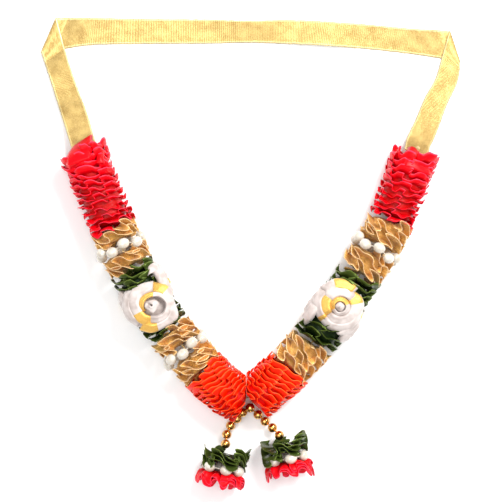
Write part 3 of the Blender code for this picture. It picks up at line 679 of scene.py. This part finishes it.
LEFT_FRONT = [
    dict(knots=[(150, 1.1, 4.2), (105, 1.2, 3.2), (60, 0.8, 4.2), (15, 0.7, 4.9), (-30, 0.6, 3.7), (-80, 0.6, 4.6),
                (-125, 0.6, 3.4), (-170, 0.8, 4.3), (-210, 1.0, 4.1)], top=0.0132, drop=0.0008, centre=(-0.3, 0.1)),
    dict(knots=[(215, 5.4, 8.0), (180, 5.6, 8.2), (140, 5.6, 8.8), (95, 5.8, 8.6), (50, 7.4, 9.8), (10, 9.0, 11.6),
                (-30, 8.6, 11.9), (-65, 7.4, 11.4), (-100, 6.6, 11.0)], top=0.0112, drop=0.0012,
         gold=[(85, 215)]),
    dict(knots=[(-85, 7.0, 12.6), (-120, 6.9, 13.2), (-150, 7.2, 13.6), (-185, 8.6, 14.8), (-215, 9.0, 16.2),
                (-245, 8.8, 15.2), (-272, 9.4, 15.4)], top=0.0104, drop=0.0018, gold=[(-150, -85)]),
    dict(knots=[(95, 9.0, 15.4), (60, 9.4, 15.4), (42, 9.6, 15.2), (10, 11.0, 14.2), (-25, 11.4, 17.6),
                (-60, 11.4, 15.8), (-90, 11.6, 17.0), (-118, 12.0, 17.4)], top=0.0094, drop=0.0026,
         gold=[(48, 95), (-118, -76)]),
    dict(knots=[(235, 12.4, 16.6), (205, 13.2, 18.4), (175, 14.0, 19.2), (150, 14.0, 18.2), (125, 13.0, 15.6)],
         top=0.0084, drop=0.0034),
]
RIGHT_FRONT = [
    dict(knots=[(250, 0.2, 2.6), (170, 0.3, 2.8), (90, 0.3, 3.0), (10, 0.3, 3.0), (-70, 0.3, 2.9), (-140, 0.3, 2.7)],
         top=0.0128, drop=0.0014),
    dict(knots=[(200, 3.3, 5.8), (150, 3.5, 6.4), (100, 3.6, 6.6), (50, 3.8, 6.4), (0, 4.0, 6.6), (-50, 3.8, 6.2),
                (-110, 3.6, 5.8), (-170, 3.6, 5.4)], top=0.0122, drop=0.0014, gold=[(20, 200)]),
    dict(knots=[(215, 6.2, 10.8), (180, 6.0, 12.4), (150, 6.4, 12.8), (125, 6.8, 12.0)], top=0.0108, drop=0.0020,
         gold=[(120, 216)]),
    dict(knots=[(150, 6.6, 13.0), (115, 6.6, 13.8), (80, 6.8, 13.0), (50, 7.2, 12.6), (25, 7.4, 12.0)], top=0.0114,
         drop=0.0018),
    dict(knots=[(48, 7.0, 13.4), (20, 7.0, 15.0), (-10, 7.0, 14.2), (-45, 6.6, 12.2), (-80, 6.2, 11.6),
                (-115, 6.0, 11.8), (-145, 6.4, 10.8)], top=0.0110, drop=0.0020, gold=[(8, 50)]),
    dict(knots=[(135, 11.4, 17.6), (100, 11.8, 17.8), (70, 11.8, 17.4), (45, 12.0, 18.0)], top=0.0100, drop=0.0026,
         gold=[(50, 100)]),
    dict(knots=[(30, 12.0, 15.4), (0, 12.4, 15.4), (-50, 11.6, 15.4), (-85, 10.8, 15.4), (-120, 10.6, 15.8),
                (-150, 10.6, 15.2)], top=0.0092, drop=0.0030),
    dict(knots=[(225, 10.4, 15.4), (195, 11.0, 15.8), (160, 11.8, 17.4), (125, 12.0, 17.6)], top=0.0088, drop=0.0032,
         gold=[(205, 226)]),
]
SIDE = [
    dict(knots=[(0, 0.4, 2.8), (70, 0.5, 3.4), (140, 0.5, 2.8), (210, 0.5, 3.4), (280, 0.5, 2.8), (350, 0.5, 3.2)],
         top=0.0112, drop=0.0012),
    dict(knots=[(60, 4.6, 7.4), (120, 5.0, 8.2), (180, 5.4, 8.0), (240, 5.8, 9.0), (300, 6.4, 9.2), (360, 7.0, 9.8),
                (420, 7.4, 10.4)], top=0.0108, drop=0.0016, gold=[(60, 170)]),
    dict(knots=[(-20, 8.6, 13.0), (20, 9.0, 14.2), (60, 9.2, 13.6), (100, 9.4, 14.6), (140, 9.4, 13.6)], top=0.0098,
         drop=0.0030, gold=[(95, 140)]),
    dict(knots=[(110, 9.6, 13.6), (150, 9.8, 15.0), (190, 9.8, 14.2), (230, 10.0, 15.2), (270, 9.8, 14.0)],
         top=0.0092, drop=0.0036),
    dict(knots=[(240, 9.8, 14.0), (280, 10.0, 15.2), (320, 10.2, 14.4), (360, 10.0, 15.2)], top=0.0088,
         drop=0.0040, gold=[(240, 285)]),
]
rose("left_front_rose_ribbon", left_thread, 0.1085, 0, "left_rose_front", LEFT_FRONT)
rose("left_outer_rose_ribbon", left_thread, 0.1030, -92, "left_rose_outer", SIDE, 140)
rose("left_inner_rose_ribbon", left_thread, 0.0955, 92, "left_rose_inner", SIDE, 250)
rose("right_front_rose_ribbon", right_thread, 0.1096, 0, "right_rose_front", RIGHT_FRONT)
rose("right_inner_rose_ribbon", right_thread, 0.1180, -92, "right_rose_inner", SIDE, 200)
rose("right_outer_rose_ribbon", right_thread, 0.1150, 92, "right_rose_outer", SIDE, 310)

# Bead string. Round gilt beads threaded close together, from the point of the V down to a tassel on each side.
BEAD_RADIUS = 0.0031
LEFT_BEADS = [(-0.0006, -0.0990, 0.0075), (-0.0054, -0.1021, 0.0050), (-0.0090, -0.1062, 0.0036),
              (-0.0132, -0.1108, 0.0036), (-0.0156, -0.1163, 0.0046), (-0.0163, -0.1222, 0.0078)]
RIGHT_BEADS = [(-0.0006, -0.0990, 0.0075), (0.0045, -0.1035, 0.0050), (0.0090, -0.1079, 0.0040),
               (0.0138, -0.1120, 0.0050), (0.0181, -0.1166, 0.0080)]
gilt_bead = Finish("gilt bead", Roughness=0.16, Metallic=1.0, Coat_Weight=0.4, Coat_Roughness=0.08)
# Random darker and lighter patches of the gilt, in colour and in roughness.
gilt_mottle = gilt_bead.place.noise(520.0, 3.0)
gilt_bead.feed(Base_Color=gilt_mottle.step(0.38, 0.66).mix((0.55, 0.22, 0.035), (0.92, 0.58, 0.18)),
               Roughness=0.12 + gilt_mottle * 0.14)
string = bmesh.new()
for chain in (LEFT_BEADS, RIGHT_BEADS):
    spots = [Vector(p) for p in chain]
    for before, spot, after in zip(spots[:1] + spots[:-1], spots, spots[1:] + spots[-1:]):
        oval(string, spot, (after - before).normalized(), BEAD_RADIUS * 0.95, BEAD_RADIUS)
        cord_link(string, before, spot, 0.0005) if before != spot else None
bead_string = finished_piece("bead_string_gilt", string, gilt_bead)
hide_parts("bead_string")

# Tassels. Each hangs on one end of the bead string: a green satin ruffle, a ring of pearls, and a red satin
# ruffle whose free edge flares downwards in points.
TASSEL_HEIGHT = 0.0105
tassel_lines = {
    "left": Thread([(-0.0160, -0.1265), (-0.0172, -0.1335), (-0.0208, -0.1490)], TASSEL_HEIGHT),
    "right": Thread([(0.0211, -0.1200), (0.0222, -0.1260), (0.0251, -0.1415)], TASSEL_HEIGHT),
}
for side, line in tassel_lines.items():
    seed = 20.0 if side == "left" else 27.0
    green = gathered_ribbon(f"{side}_tassel_green_satin", line, 0.0016, 0.0076, 3, 5, green_satin, swing=0.0040,
                            lap=0.12, shear=0.25, lean=-0.0022, last_lean=0.0020, reach=0.0152, core=0.0080,
                            seed=seed, ragged=0.0018, steps=20)
    gathered(f"{side}_tassel_green")
    pearl_ring(f"{side}_tassel_pearl_ring", line, f"{side}_tassel_pearls",
               [(0.0112, -48 + 60 * k, 0.0112) for k in range(6)])
    red = gathered_ribbon(f"{side}_tassel_red_satin", line, 0.0132, 0.0176, 2.6, 8, red_satin, swing=0.0024,
                          lap=0.05, shear=0.05, square=0.0, reach=0.0152, core=0.0070, seed=seed + 3, lean=0.0042,
                          ragged=0.0018, steps=14)
    gathered(f"{side}_tassel_red")

# Studio. A plain white table top under soft, even light, seen from straight above as in the photograph.
VIEW_WIDTH = 502 * 0.00064
LENS = 200.0
DISTANCE = VIEW_WIDTH * LENS / 36.0
floor_bm = bmesh.new()
bmesh.ops.create_grid(floor_bm, x_segments=1, y_segments=1, size=4.0)
table_mesh = bpy.data.meshes.new("table_top")
floor_bm.to_mesh(table_mesh)
floor_bm.free()
table_top = bpy.data.objects.new("table_top", table_mesh)
bpy.context.scene.collection.objects.link(table_top)
white = Finish("white table", Base_Color=(0.94, 0.94, 0.94, 1.0), Roughness=0.9)
table_mesh.materials.append(white.material)
table_top.location.z = -0.0002


def soft_light(name, place, size, power, colour=(1.0, 1.0, 1.0)):
    lamp = bpy.data.lights.new(name, "AREA")
    lamp.energy = power
    lamp.size = size
    lamp.color = colour
    held = bpy.data.objects.new(name, lamp)
    held.location = place
    held.rotation_euler = (-Vector(place)).to_track_quat("-Z", "Y").to_euler()
    bpy.context.scene.collection.objects.link(held)


soft_light("window", (0.9, 1.1, 1.6), 0.8, 62.0)
soft_light("overhead", (-0.4, -0.2, 2.1), 1.6, 30.0)
studio = bpy.data.worlds.new("studio")
studio.use_nodes = True
studio.node_tree.nodes["Background"].inputs["Color"].default_value = (1.0, 1.0, 1.0, 1.0)
studio.node_tree.nodes["Background"].inputs["Strength"].default_value = 0.55
bpy.context.scene.world = studio
camera = bpy.data.cameras.new("camera")
camera.lens = LENS
camera.sensor_width = 36.0
camera.clip_end = 20.0
viewer = bpy.data.objects.new("camera", camera)
viewer.location = (0.0, 0.0016, 0.012 + DISTANCE)
bpy.context.scene.collection.objects.link(viewer)
bpy.context.scene.camera = viewer
